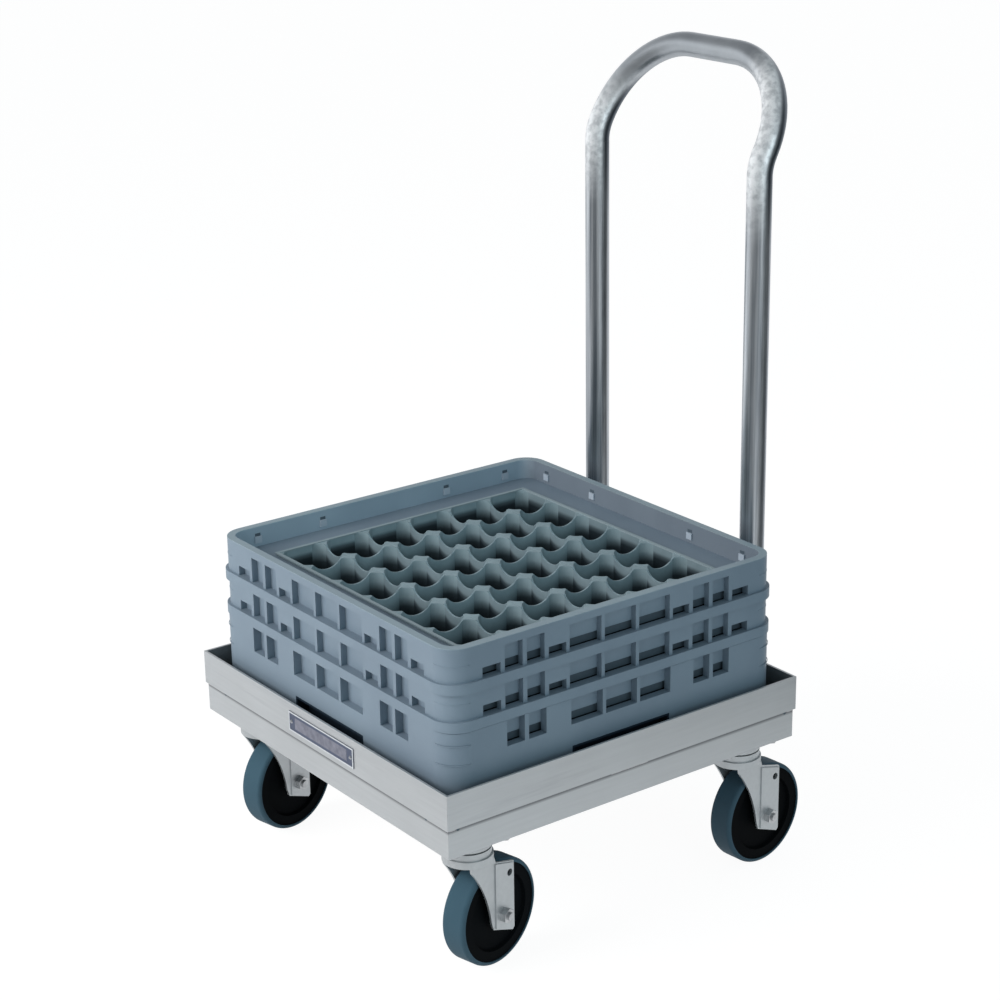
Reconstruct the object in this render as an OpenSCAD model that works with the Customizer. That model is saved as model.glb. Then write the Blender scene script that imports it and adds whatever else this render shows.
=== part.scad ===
// Rack dolly: a welded aluminium frame on four swivel casters, with a bent push
// handle, carrying a compartment rack made of a base and two extenders.
// Millimetres. +Z is up, -Y is the front with the nameplate, +Y is the handle side.
// The origin is on the floor under the middle of the whole outline.

/* [Frame] */
// Height of the frame's underside above the floor
deck_z = 183; // [176:1:210]
// Outside size of the square tube that runs round under the frame
tube_size = 38; // [34:1:46]
// Wall of the square tube
tube_wall = 3; // [2:0.5:4]
// How far the tube stands in from the angle's outer face
tube_inset = 2.5; // [1.5:0.5:5]
// Height of the angle's upright leg above the tube
angle_h = 44.5; // [38:0.5:56]
// Thickness of the angle
angle_t = 3; // [2:0.5:5]
// Length of each weld that closes the seam at a corner
corner_weld = 44; // [20:1:80]
// Length of the weld in the middle of each side face
side_weld = 60; // [30:1:120]
// Width of the nameplate
name_w = 144; // [80:1:180]
// Height of the nameplate
name_h = 26; // [16:1:32]
// Thickness of the nameplate
name_t = 1; // [0.8:0.1:2]
// How far the nameplate's middle is right of the frame's middle
name_x = 8; // [-20:1:20]

/* [Rack] */
// Outside width and depth of the rack
rack_w = 504; // [480:1:530]
// Gap between the rack and the angle on each side
rack_gap = 17; // [15:1:26]
// How far the shelf reaches under the rack's wall
shelf_lap = 18; // [12:1:24]
// Height of the base rack
base_h = 112; // [104:1:130]
// Height that each extender adds
ext_h = 47; // [44:1:56]
// Outside radius of the rack's upright corners
rack_r = 30; // [20:1:50]
// Thickness of the outer wall
wall_t = 4; // [3:0.5:6]
// Thickness of the inner wall behind the windows
skin_t = 2; // [1.5:0.5:3]
// Space between the outer and the inner wall
skin_gap = 4.5; // [3:0.5:6]
// Thickness of the lip that joins the two walls at the top
lip_t = 4; // [3:0.5:6]
// How far each skirt stands proud of the wall below it
skirt_t = 4; // [3:0.5:5]
// Height of a skirt
skirt_h = 13; // [10:0.5:16]
// How far the base rack's wall stands proud of the extenders' walls
base_step = 2.5; // [1:0.5:3]
// Compartments along each side
cells = 6; // [5:1:6]
// Distance from one compartment to the next
cell_pitch = 66; // [60:0.5:70]
// Thickness of a divider slat
slat_t = 2.4; // [1.6:0.2:4]
// How far the dividers' top edge is below the layer's rim
slat_drop = 24; // [18:1:28]
// Depth of the dip in a slat's top edge between two crossings
slat_dip = 10; // [4:0.5:13]
// Width of the dip
dip_w = 42; // [30:1:50]
// Thickness of the ledge between the wall and the dividers
ledge_t = 3; // [2:0.5:4]
// Thickness of the open floor
floor_t = 4; // [3:0.5:6]
// Width of the floor's bars
floor_bar = 6; // [4:0.5:9]
// Width of the hand recess in each side of the base rack
grip_w = 145; // [110:1:170]
// Height of the hand recess
grip_h = 38; // [34:1:56]
// Depth of the hand recess
grip_d = 14; // [10:0.5:18]

/* [Handle] */
// Outside diameter of the handle's tube
handle_d = 31.8; // [25:0.1:34]
// Wall of the handle's tube
handle_wall = 2; // [1.5:0.1:3]
// Distance between the middles of the two legs
handle_span = 314; // [290:1:340]
// Height of the top bar's middle above the frame's underside
handle_rise = 831; // [760:1:900]
// Angle by which the top leans back
lean = 28.5; // [15:0.5:35]
// Radius of the bend where the lean starts
lean_r = 60; // [55:1:90]
// Length of the leaning part, from the bend to the top bar's middle
lean_run = 118; // [116:1:160]
// Radius of the two top corners
corner_r = 114; // [90:1:114]
// Wall of the sockets that hold the legs
socket_wall = 4; // [3:0.5:6]
// Thickness of the pad between a socket and the rail
pad_t = 5; // [4:0.5:8]
// Height of a socket
socket_h = 74; // [60:1:78]

/* [Casters] */
// Wheel diameter
wheel_d = 136; // [125:1:140]
// Tread width
wheel_w = 34; // [30:0.5:38]
// Thickness of the rubber tread
tread_t = 11; // [8:0.5:14]
// Distance from the kingpin to the axle
trail = 37; // [32:1:42]
// Size of the top plate across the cart
plate_x = 60; // [60:1:64]
// Size of the top plate along the cart
plate_y = 92; // [88:1:100]
// Thickness of the top plate
plate_t = 4; // [3:0.5:6]
// Spacing of the plate's bolts across the cart
bolt_x = 45; // [44:1:48]
// Spacing of the plate's bolts along the cart
bolt_y = 75; // [72:1:84]
// Diameter of the plate's and the sockets' bolts
bolt_d = 8; // [6:1:8]
// Diameter of the kingpin
kingpin_d = 12; // [10:1:14]
// Diameter of the bearing balls
ball_d = 7; // [6:0.5:8]
// Balls in each swivel bearing
ball_count = 12; // [8:1:14]
// Thickness of the fork's sheet
fork_t = 3; // [2.5:0.5:4]
// Thickness of the boss panel on each fork leg
boss_t = 1.5; // [1:0.5:2]
// Height of the crown's disc
crown_disc = 9; // [6:0.5:12]
// How far a fork leg reaches in front of the axle
leg_lead = 21.5; // [18:0.5:24]
// How far a fork leg reaches behind the axle
leg_tail = 19.5; // [16:0.5:24]
// How far a fork leg reaches below the axle
leg_drop = 28; // [20:0.5:32]
// How much higher the leg's foot ends at its front
leg_slant = 14; // [4:0.5:18]
// Diameter of the axle bolt
axle_d = 10; // [8:0.5:12]
// Resting swivel angle of the front right caster
swivel_fr = 13; // [0:1:20]
// Resting swivel angle of the back right caster
swivel_br = 5; // [0:1:20]
// Resting swivel angle of the front left caster
swivel_fl = 12; // [0:1:12]
// Resting swivel angle of the back left caster
swivel_bl = 8; // [0:1:12]

/* [Hidden] */
$fn = 64;
// Gap of a part that is seated flat on another
seat = 0.2;
// Radial gap of a pin that turns in its hole
run_gap = 0.08;
// Gap of a bolt in its hole, and of a tube in its socket
bolt_gap = 0.2;
// Gap between two pressed pieces, and under the bonded tyre
bond_gap = 0.05;
tyre_gap = 0.2;
// Overshoot of a cut, so that it leaves no skin
cut = 1;
// How far two forms of one solid reach into each other
lap = 1;

// The frame is as wide as the rack, its gaps and the two angle walls
frame_w = rack_w + 2 * (rack_gap + angle_t);
half = frame_w / 2;
shelf_w = angle_t + rack_gap + shelf_lap;
tube_top = deck_z + tube_size;
frame_top = tube_top + angle_h;
tube_out = half - tube_inset;
tube_in = tube_out - tube_size;
// Middle line of the tube, where the casters' outer bolts go
rail_mid = tube_out - tube_size / 2;

// Rack levels, from the floor up
rack_z = tube_top + angle_t + seat;
base_top = rack_z + base_h;
lower_top = base_top + ext_h;
rim_z = lower_top + ext_h;
rack_half = rack_w / 2;
field_half = cells * cell_pitch / 2;
// How far the dividers stand above the ledge
slat_up = 3;
ledge_drop = slat_drop + slat_up;
inner_half = rack_half - wall_t - skin_gap - skin_t;
// Each row of windows, measured down from its layer's rim
window_top = 10;
window_h = 33;
small_h = 13;
window_rib = 5;
small_w = 26;
wide_w = 48;
slot_x = [for (k = [0:3]) 1.5 * wide_w + 2 * window_rib + (small_w + window_rib + 1) * k + small_w / 2];
// Height of the slots at the foot of the inner wall, in the left and right sides
skin_slot = 11;
// How far a skirt reaches above and below the joint that it hides
skirt_up = 4;
skirt_foot = skirt_h - skirt_up;
// Gaps between a skirt and the layer inside it, and over the base rack's thicker foot
skirt_gap = 0.3;
step_gap = 1;
// Wall of the hand recesses
recess_t = 3;
// A slat's clearance at a crossing
lap_gap = 0.2;
base_slat_h = base_h - slat_drop - floor_t - seat;

// Handle
leg_x = handle_span / 2;
handle_r = handle_d / 2;
socket_r = handle_r + bolt_gap + socket_wall;
leg_y = half + pad_t + socket_r;
handle_top = deck_z + handle_rise;
lean_z = handle_top - lean_run * cos(lean) - lean_r * sin(lean);
lean_y = leg_y + lean_r * (1 - cos(lean));
top_y = lean_y + lean_run * sin(lean);
// How far a socket's middle is above the frame's tube, and a leg's foot above the
// socket's end
socket_up = 4;
socket_z = tube_top - socket_h / 2 + socket_up;
leg_up = 2;
leg_foot = socket_z + leg_up;
// How much wider a pad is than its socket
pad_more = 12;
pad_w = 2 * socket_r + pad_more;
// How far one piece of the handle's tube reaches into the wall of the next, and
// how much thinner its wall is there
seam_lap = 1;
seam_step = 0.1;
// Distance from a socket's end to its bolt
socket_edge = 18;
socket_bolts = [socket_z + socket_edge, socket_z + socket_h - socket_edge];

// Fasteners: across the flats and height of the plate bolts' heads and nuts
hex8 = 13;
head8_h = 5.3;
nut8_h = 6.5;
hex10 = 17;
head10_h = 6.4;
nut10_h = 8;
bolt_tip = 3;
rivet_d = 5;
rivet_shank = 3;
// Distance from the nameplate's end to its rivet
rivet_in = 6;
// How far the nameplate's middle is below the angle's
name_drop = 2;
name_z = tube_top + angle_h / 2 - name_drop;
// How much smaller the weld is than the step that it fills
weld_less = 0.4;
// How far a gusset reaches past the bolts
gusset_edge = 15;
rivet_h = 1.4;

// Casters
wheel_r = wheel_d / 2;
axle_z = wheel_r;
core_r = wheel_r - tread_t;
// The core's flanges hold the tyre at both sides, this far inside its tread
flange_in = 5.5;
flange_r = wheel_r - flange_in;
flange_t = 3;
tread_round = 5;
// How much narrower the core's rim is than the wheel, and its web than its rim
rim_less = 3;
web_less = 9;
rim_w = wheel_w - rim_less;
rim_t = 9;
web_w = rim_w - web_less;
rim_bevel = 2;
caster_x = rail_mid - bolt_x / 2;
caster_y = rail_mid - bolt_y / 2;
plate_z = deck_z - plate_t;
race_r = 19;
race_skirt_r = 29;
race_skirt_t = 3;
race_skirt_h = 8.5;
// The crown's raised bearing face and its main disc, with the room round each
face_room = 0.5;
crown_room = 2;
crown_face = plate_z - ball_d - face_room;
crown_top = plate_z - race_skirt_h - crown_room;
crown_cup = 8.5;
crown_r = 31;
crown_web = 4;
crown_z = crown_top - crown_cup - crown_disc;
// Room between the wheel and each leg
wheel_room = 3;
fork_in = wheel_w / 2 + wheel_room;
fork_out = fork_in + fork_t;
axle_face = fork_out + boss_t;
// Side view of a fork leg, behind (+) the kingpin and above the floor
leg_back = trail + leg_tail;
leg_front = trail - leg_lead;
leg_bottom = axle_z - leg_drop;
leg_heel = leg_bottom + leg_slant;
shoulder_drop = 19;
leg_shoulder = crown_z - shoulder_drop;
leg_top = sqrt(crown_r * crown_r - fork_out * fork_out) - lap;
lead_bow = 6;
// Where the leading edge starts below the crown, and the small cuts at the foot
lead_start = 7;
toe_h = 9;
foot_cut = 3;
// How far a leg reaches up into the crown, and the rise of its shoulder
leg_lap = 4;
shoulder_rise = 10;
// Distance from a leg's front to its boss, and how deep the boss is set in the leg
boss_in = 6.5;
boss_front = leg_front + boss_in;
boss_sink = 0.5;
boss_edge = 1.5;
leg_hole = 9;
hole_drop = 12;
hub_r = 17;
// Play of the hub between the legs
hub_play = 1.6;
hub_w = 2 * fork_in - hub_play;
bush_r = 11;

// Where each caster is, and how it is turned at rest
CORNERS = [
    ["fl", -1, -1, swivel_fl],
    ["fr", 1, -1, swivel_fr],
    ["bl", -1, 1, swivel_bl],
    ["br", 1, 1, swivel_br]
];
SIDES = [["front", 0], ["right", 1], ["back", 2], ["left", 3]];
CASTER_PIECES = [
    "caster_plate", "kingpin", "fork", "axle_bolt", "axle_nut", "wheel_core", "wheel_tread", "hub_bush"
];

// The outline's front and back, which set the origin
front_reach = half + name_t + rivet_h;
back_reach = top_y + handle_r - 2 * seam_step;
mid_y = (front_reach - back_reach) / 2;

// Moves a piece from the frame's own middle to the origin of the whole outline
module place() {
    translate([0, mid_y, 0]) children();
}

// A caster's own frame: kingpin on Z, trail along +Y, turned as it rests
module at_caster(c, turn) {
    place()
        translate([c[1] * caster_x, c[2] * caster_y, 0])
        rotate([0, 0, turn])
        children();
}

// Points on a shallow arc from a to b that bows sideways by bow
function bowed(a, b, bow, n) = [
    for (i = [0:n])
        let (s = i / n, d = b - a)
        a + s * d + 4 * bow * s * (1 - s) * [-d[1], d[0]] / norm(d)
];

// Square with rounded corners, from discs and bars so that its arcs stay true
module round_square(w, r) {
    square([w, w - 2 * r], center = true);
    square([w - 2 * r, w], center = true);
    for (x = [-1, 1])
        for (y = [-1, 1])
            translate([x * (w / 2 - r), y * (w / 2 - r)]) circle(r);
}

// Upright ring of a rounded square, from half size a out to half size b
module ring(a, b, z0, z1) {
    translate([0, 0, z0])
        linear_extrude(z1 - z0)
        difference() {
            round_square(2 * b, max(rack_r - (rack_half - b), 2));
            round_square(2 * a, max(rack_r - (rack_half - a), 2));
        }
}

module hex_prism(flats, h) {
    cylinder(d = flats / cos(30), h = h, $fn = 6);
}

// Everything that is cut at a caster's plate bolts
module plate_bolt_holes(z0, z1) {
    for (c = CORNERS)
        for (x = [-1, 1])
            for (y = [-1, 1])
                translate([
                    c[1] * caster_x + x * bolt_x / 2,
                    c[2] * caster_y + y * bolt_y / 2,
                    z0
                ])
                cylinder(d = bolt_d + 2 * bolt_gap, h = z1 - z0);
}

// The share of the frame that a mitred rail along -Y keeps
module mitre() {
    translate([0, 0, deck_z - cut])
        linear_extrude(frame_top - deck_z + 2 * cut)
        polygon([[-half, -half], [half, -half], [0, 0]]);
}

// One side of the frame, seen as the -Y side
module angle_bar() {
    intersection() {
        union() {
            translate([-half, -half, tube_top]) cube([frame_w, angle_t, angle_h]);
            translate([-half, -half, tube_top]) cube([frame_w, shelf_w, angle_t]);
        }
        mitre();
    }
}

module tube_bar() {
    intersection() {
        difference() {
            translate([-half, -tube_out, deck_z]) cube([frame_w, tube_size, tube_size]);
            translate([-half - cut, -tube_out + tube_wall, deck_z + tube_wall])
                cube([
                    frame_w + 2 * cut,
                    tube_size - 2 * tube_wall,
                    tube_size - 2 * tube_wall
                ]);
        }
        mitre();
    }
}

module angle_rail(side) {
    color([0.80, 0.81, 0.82]) place() rotate([0, 0, 90 * side]) angle_bar();
}

module tube_rail(side) {
    color([0.76, 0.77, 0.79])
        place()
        difference() {
            rotate([0, 0, 90 * side]) tube_bar();
            plate_bolt_holes(deck_z - cut, deck_z + tube_wall + cut);
        }
}

// Plates welded into the inner corners, under the casters' inner bolts
module corner_gussets() {
    gusset_x0 = caster_x - bolt_x / 2 - gusset_edge;
    gusset_y0 = caster_y - bolt_y / 2 - gusset_edge;
    color([0.72, 0.73, 0.75])
        place()
        difference() {
            for (c = CORNERS)
                scale([c[1], c[2], 1])
                    translate([gusset_x0, gusset_y0, deck_z])
                    cube([tube_in - gusset_x0, tube_in - gusset_y0, tube_wall]);
            plate_bolt_holes(deck_z - cut, deck_z + tube_wall + cut);
        }
}

// Weld metal in the step between the angle and the tube
module seam_welds() {
    weld = tube_inset - weld_less;
    weld_out = tube_out + weld;
    color([0.70, 0.71, 0.73])
        place() {
            for (side = [0:3])
                rotate([0, 0, 90 * side])
                    difference() {
                        translate([tube_out - corner_weld, tube_out - corner_weld, tube_top - weld])
                            cube([corner_weld + weld, corner_weld + weld, weld]);
                        translate([
                            tube_out - corner_weld - cut,
                            tube_out - corner_weld - cut,
                            tube_top - weld - cut
                        ])
                            cube([corner_weld + cut, corner_weld + cut, weld + 2 * cut]);
                    }
            for (side = [-1, 1])
                translate([side * (tube_out + weld_out) / 2, 0, tube_top - weld / 2])
                    cube([weld, side_weld, weld], center = true);
        }
}

module nameplate() {
    color([0.25, 0.31, 0.40])
        place()
        difference() {
            translate([name_x, -half - name_t / 2, name_z])
                cube([name_w, name_t, name_h], center = true);
            name_rivets(2 * cut);
        }
}

module name_rivets(reach) {
    for (x = [-1, 1])
        translate([name_x + x * (name_w / 2 - rivet_in), -half - name_t - reach, name_z])
            rotate([-90, 0, 0])
            cylinder(d = rivet_shank, h = name_t + reach);
}

module nameplate_rivets() {
    color([0.75, 0.77, 0.79])
        place() {
            name_rivets(seat);
            for (x = [-1, 1])
                translate([name_x + x * (name_w / 2 - rivet_in), -half - name_t, name_z])
                    rotate([90, 0, 0])
                    cylinder(d1 = rivet_d, d2 = rivet_shank, h = rivet_h);
        }
}

// The handle's wall in section, thinned on both sides by step
module handle_section(step) {
    difference() {
        circle(handle_r - step);
        circle(handle_r - handle_wall + step);
    }
}

// Legs, the bends where they start to lean, then the two corners and the top bar.
// Each piece reaches a little into the wall of the one before it.
module handle_path() {
    straight = lean_run - corner_r;
    for (x = [-leg_x, leg_x]) {
        translate([x, leg_y, leg_foot]) linear_extrude(lean_z - leg_foot) handle_section(0);
        translate([x, leg_y + lean_r, lean_z])
            rotate([90, 0, -90]) {
                rotate_extrude(angle = lean) translate([lean_r, 0]) handle_section(seam_step);
                translate([lean_r, 0, 0])
                    rotate([90, 0, 0])
                    linear_extrude(seam_lap)
                    handle_section(seam_step);
            }
    }
    translate([0, lean_y, lean_z + lean_r * sin(lean)])
        rotate([-lean, 0, 0]) {
            for (x = [-leg_x, leg_x])
                translate([x, 0, -seam_lap])
                    linear_extrude(straight + seam_lap)
                    handle_section(2 * seam_step);
            for (m = [0, 1])
                mirror([m, 0, 0])
                    translate([leg_x - corner_r, 0, straight])
                    rotate([90, 0, 0])
                    rotate_extrude(angle = 90)
                    translate([corner_r, 0])
                    handle_section(2 * seam_step);
            translate([corner_r - leg_x, 0, lean_run])
                rotate([0, 90, 0])
                linear_extrude(2 * (leg_x - corner_r))
                handle_section(2 * seam_step);
        }
}

module socket_bolt_holes() {
    for (x = [-leg_x, leg_x])
        for (z = socket_bolts)
            translate([x - socket_r - cut, leg_y, z])
                rotate([0, 90, 0])
                cylinder(d = bolt_d + 2 * bolt_gap, h = 2 * (socket_r + cut));
}

module push_handle() {
    color([0.66, 0.69, 0.72])
        place()
        difference() {
            handle_path();
            socket_bolt_holes();
        }
}

// Sockets on their pads, welded to the back rail
module handle_sockets() {
    color([0.72, 0.73, 0.75])
        place()
        difference() {
            for (x = [-leg_x, leg_x]) {
                translate([x, leg_y, socket_z]) cylinder(r = socket_r, h = socket_h);
                translate([x - pad_w / 2, half, socket_z]) cube([pad_w, pad_t, socket_h]);
                translate([x - socket_r, half + pad_t - cut, socket_z])
                    cube([2 * socket_r, socket_r / 2, socket_h]);
            }
            for (x = [-leg_x, leg_x])
                translate([x, leg_y, socket_z - cut])
                    cylinder(r = handle_r + bolt_gap, h = socket_h + 2 * cut);
            socket_bolt_holes();
        }
}

module handle_bolts() {
    color([0.62, 0.63, 0.65])
        place()
        for (x = [-leg_x, leg_x])
            for (z = socket_bolts)
                translate([x - socket_r - head8_h, leg_y, z])
                    rotate([0, 90, 0]) {
                        hex_prism(hex8, head8_h);
                        cylinder(d = bolt_d, h = head8_h + 2 * socket_r + nut8_h + bolt_tip);
                    }
}

module handle_nuts() {
    color([0.62, 0.63, 0.65])
        place()
        for (x = [-leg_x, leg_x])
            for (z = socket_bolts)
                translate([x + socket_r, leg_y, z])
                    rotate([0, 90, 0])
                    difference() {
                        hex_prism(hex8, nut8_h);
                        translate([0, 0, -cut]) cylinder(d = bolt_d + bond_gap, h = nut8_h + 2 * cut);
                    }
}

// Children at every plate bolt of every caster
module at_plate_bolts(z) {
    place()
        for (c = CORNERS)
            for (x = [-1, 1])
                for (y = [-1, 1])
                    translate([
                        c[1] * caster_x + x * bolt_x / 2,
                        c[2] * caster_y + y * bolt_y / 2,
                        z
                    ])
                    children();
}

module plate_bolts() {
    color([0.62, 0.63, 0.65])
        at_plate_bolts(plate_z - head8_h) {
            hex_prism(hex8, head8_h);
            cylinder(d = bolt_d, h = head8_h + plate_t + tube_wall + nut8_h + bolt_tip);
        }
}

module plate_nuts() {
    color([0.62, 0.63, 0.65])
        at_plate_bolts(deck_z + tube_wall)
        difference() {
            hex_prism(hex8, nut8_h);
            translate([0, 0, -cut]) cylinder(d = bolt_d + bond_gap, h = nut8_h + 2 * cut);
        }
}

module swivel_balls() {
    color([0.80, 0.81, 0.82])
        for (c = CORNERS)
            at_caster(c, 0)
            for (i = [0:ball_count - 1])
                rotate([0, 0, i * 360 / ball_count])
                    translate([race_r, 0, plate_z - ball_d / 2 - 0.1])
                    sphere(d = ball_d, $fn = 24);
}

// Top plate with the skirt that shields the balls
module caster_plate() {
    color([0.74, 0.76, 0.78])
        difference() {
            union() {
                translate([-plate_x / 2, -plate_y / 2, plate_z]) cube([plate_x, plate_y, plate_t]);
                translate([0, 0, plate_z - race_skirt_h])
                    cylinder(r = race_skirt_r, h = race_skirt_h);
            }
            translate([0, 0, plate_z - race_skirt_h - cut])
                cylinder(r = race_skirt_r - race_skirt_t, h = race_skirt_h + cut);
            translate([0, 0, plate_z - cut])
                cylinder(d = kingpin_d + 2 * bond_gap, h = plate_t + 2 * cut);
            translate([0, 0, plate_z])
                cylinder(
                    d1 = kingpin_d + 2 * bond_gap,
                    d2 = kingpin_d + 2 * plate_t + 2 * bond_gap,
                    h = plate_t
                );
            for (x = [-1, 1])
                for (y = [-1, 1])
                    translate([x * bolt_x / 2, y * bolt_y / 2, plate_z - cut])
                        cylinder(d = bolt_d + 2 * bolt_gap, h = plate_t + 2 * cut);
        }
}

// Pin with a countersunk head above and a collar that holds the crown below
module kingpin() {
    collar_h = 6;
    collar_z = crown_top - crown_web - 0.3 - collar_h;
    color([0.62, 0.63, 0.65]) {
        translate([0, 0, collar_z]) cylinder(d = kingpin_d, h = deck_z - collar_z);
        translate([0, 0, plate_z]) cylinder(d1 = kingpin_d, d2 = kingpin_d + 2 * plate_t, h = plate_t);
        translate([0, 0, collar_z]) cylinder(d = 1.8 * kingpin_d, h = collar_h);
    }
}

// Side view of a fork leg: a bowed leading edge, an upright trailing edge and a
// foot that slants down to the back
module leg_outline() {
    polygon(concat(
        [[leg_top, crown_z + leg_lap], [-leg_top, crown_z + leg_lap], [-leg_top, crown_z]],
        bowed([1 - leg_top, crown_z - lead_start], [leg_front, leg_heel + toe_h], lead_bow, 7),
        [
            [leg_front + foot_cut, leg_heel],
            [leg_back - foot_cut, leg_bottom],
            [leg_back, leg_bottom + foot_cut],
            [leg_back, leg_shoulder],
            [leg_top + leg_lap, leg_shoulder + shoulder_rise]
        ]
    ));
}

module boss_outline() {
    polygon([
        [boss_front, leg_heel],
        [leg_back - boss_edge - foot_cut, leg_bottom + boss_edge],
        [leg_back - boss_edge, leg_bottom + boss_edge + foot_cut],
        [leg_back - boss_edge, leg_shoulder - boss_edge],
        [boss_front, leg_shoulder + shoulder_rise - boss_edge]
    ]);
}

// Stands a side view upright, from x0 outward by t on the side named by s
module upright(s, x0, t) {
    translate([s > 0 ? x0 : -x0 - t, 0, 0])
        rotate([90, 0, 90])
        linear_extrude(t)
        children();
}

module fork() {
    color([0.74, 0.76, 0.78])
        difference() {
            union() {
                translate([0, 0, crown_z]) cylinder(r = crown_r, h = crown_disc);
                translate([0, 0, crown_z]) cylinder(r = race_skirt_r, h = crown_top - crown_z);
                translate([0, 0, crown_top - cut])
                    cylinder(r = race_skirt_r - race_skirt_t - crown_room, h = crown_face - crown_top + cut);
                for (s = [-1, 1]) {
                    upright(s, fork_in, fork_t) leg_outline();
                    upright(s, fork_out - boss_sink, boss_t + boss_sink) boss_outline();
                }
            }
            translate([0, 0, crown_z - cut])
                cylinder(r = fork_in, h = crown_top - crown_web - crown_z + cut);
            translate([0, 0, crown_z])
                cylinder(d = kingpin_d + 2 * run_gap, h = crown_face - crown_z + cut);
            translate([-axle_face - cut, trail, axle_z])
                rotate([0, 90, 0])
                cylinder(d = axle_d + 2 * bond_gap, h = 2 * (axle_face + cut));
            translate([-axle_face - cut, leg_back - leg_hole, leg_shoulder - hole_drop])
                rotate([0, 90, 0])
                cylinder(d = leg_hole, h = 2 * (axle_face + cut));
        }
}

module axle_bolt() {
    color([0.62, 0.63, 0.65])
        translate([-axle_face, trail, axle_z])
        rotate([0, 90, 0]) {
            translate([0, 0, -head10_h]) hex_prism(hex10, head10_h);
            cylinder(d = axle_d, h = 2 * axle_face + nut10_h + bolt_tip);
        }
}

module axle_nut() {
    color([0.62, 0.63, 0.65])
        translate([axle_face, trail, axle_z])
        rotate([0, 90, 0])
        difference() {
            hex_prism(hex10, nut10_h);
            translate([0, 0, -cut]) cylinder(d = axle_d + bond_gap, h = nut10_h + 2 * cut);
        }
}

// Turns a profile drawn as [radius, across] about the axle
module about_axle() {
    translate([0, trail, axle_z]) rotate([0, 90, 0]) rotate_extrude() children();
}

// Moulded core: hub, dished web, and a rim whose flanges hold the tyre
module wheel_core() {
    rim_r = core_r - rim_t;
    half_side = [
        [bush_r, hub_w / 2],
        [hub_r, hub_w / 2],
        [hub_r + rim_bevel, web_w / 2],
        [rim_r, web_w / 2],
        [rim_r + rim_bevel, rim_w / 2],
        [flange_r, rim_w / 2],
        [flange_r, rim_w / 2 - flange_t],
        [core_r - tyre_gap, rim_w / 2 - flange_t]
    ];
    last = len(half_side) - 1;
    color([0.06, 0.06, 0.07])
        about_axle()
        polygon(concat(
            [for (p = half_side) [p[0], -p[1]]],
            [for (i = [0:last]) half_side[last - i]]
        ));
}

// Rubber tyre with rounded shoulders, cut back where the core's flanges hold it
module wheel_tread() {
    shoulder = min(tread_round, wheel_r - flange_r - tyre_gap);
    seat_w = rim_w - 2 * flange_t - 2 * tyre_gap;
    color([0.22, 0.36, 0.42])
        about_axle() {
            translate([core_r, -seat_w / 2]) square([wheel_r - shoulder - core_r, seat_w]);
            intersection() {
                translate([flange_r + tyre_gap, -wheel_w / 2])
                    square([wheel_r - flange_r - tyre_gap, wheel_w]);
                union() {
                    translate([core_r, shoulder - wheel_w / 2])
                        square([tread_t, wheel_w - 2 * shoulder]);
                    for (s = [-1, 1])
                        translate([wheel_r - shoulder, s * (wheel_w / 2 - shoulder)])
                            circle(shoulder);
                }
            }
        }
}

module hub_bush() {
    color([0.70, 0.71, 0.73])
        about_axle()
        translate([axle_d / 2 + run_gap, -fork_in + 0.5])
        square([bush_r - bond_gap - axle_d / 2 - run_gap, 2 * fork_in - 1]);
}

// Windows through the outer wall on all four sides, below a rim at z
module windows(z, small) {
    for (side = [0:3])
        rotate([0, 0, 90 * side]) {
            for (x = [-1, 0, 1])
                window(x * (wide_w + window_rib), z - window_top, wide_w, window_h);
            for (x = [-1, 1]) {
                for (k = [1, 2])
                    window(x * slot_x[k], z - window_top, small_w, window_h);
                if (small)
                    for (k = [0, 3])
                        window(x * slot_x[k], z - window_top - window_h + small_h, small_w, small_h);
            }
        }
}

module window(x, z_top, w, h) {
    translate([x - w / 2, rack_half - wall_t - cut, z_top - h])
        cube([w, wall_t + base_step + 2 * cut, h]);
}

// One layer of the rack: outer wall, lip, inner wall and ledge, with its windows
module layer_shell(z_top, h, small) {
    difference() {
        ring(rack_half - wall_t, rack_half, z_top - h, z_top);
        windows(z_top, small);
    }
    ring(inner_half, rack_half - lap, z_top - lip_t, z_top);
    difference() {
        ring(inner_half, inner_half + skin_t, z_top - window_top - window_h, z_top - lap);
        skin_slots(z_top - window_top - window_h);
    }
    translate([0, 0, z_top - ledge_drop - ledge_t])
        linear_extrude(ledge_t)
        difference() {
            round_square(2 * inner_half + lap, rack_r - wall_t - skin_gap - skin_t);
            square(2 * (field_half + slat_t / 2 + lap_gap), center = true);
        }
}

// Slots at the foot of the inner wall, behind the windows of the left and right sides
module skin_slots(z) {
    reach = slot_x[3] + small_w / 2;
    for (side = [1, 3])
        rotate([0, 0, 90 * side])
            translate([-reach, inner_half - cut, z - cut])
            cube([2 * reach, skin_t + 2 * cut, skin_slot + cut]);
}

// Skirt that hides the joint below a layer whose underside is at z
module skirt(z) {
    ring(rack_half - lap, rack_half + skirt_t, z, z + skirt_up);
    ring(rack_half + skirt_gap, rack_half + skirt_t, z - skirt_foot, z + lap);
}

module upper_extender() {
    color([0.42, 0.49, 0.55]) place() {
        layer_shell(rim_z, ext_h - seat / 2, true);
        skirt(lower_top + seat / 2);
    }
}

module lower_extender() {
    color([0.42, 0.49, 0.55]) place() {
        layer_shell(lower_top, ext_h - seat / 2, true);
        skirt(base_top + seat / 2);
    }
}

// Room of the hand recesses, grown by g
module grips(g) {
    for (side = [0:3])
        rotate([0, 0, 90 * side])
            translate([-grip_w / 2 - g, rack_half - grip_d - g, rack_z - cut])
            cube([grip_w + 2 * g, grip_d + base_step + cut + g, grip_h + cut + g]);
}

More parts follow.
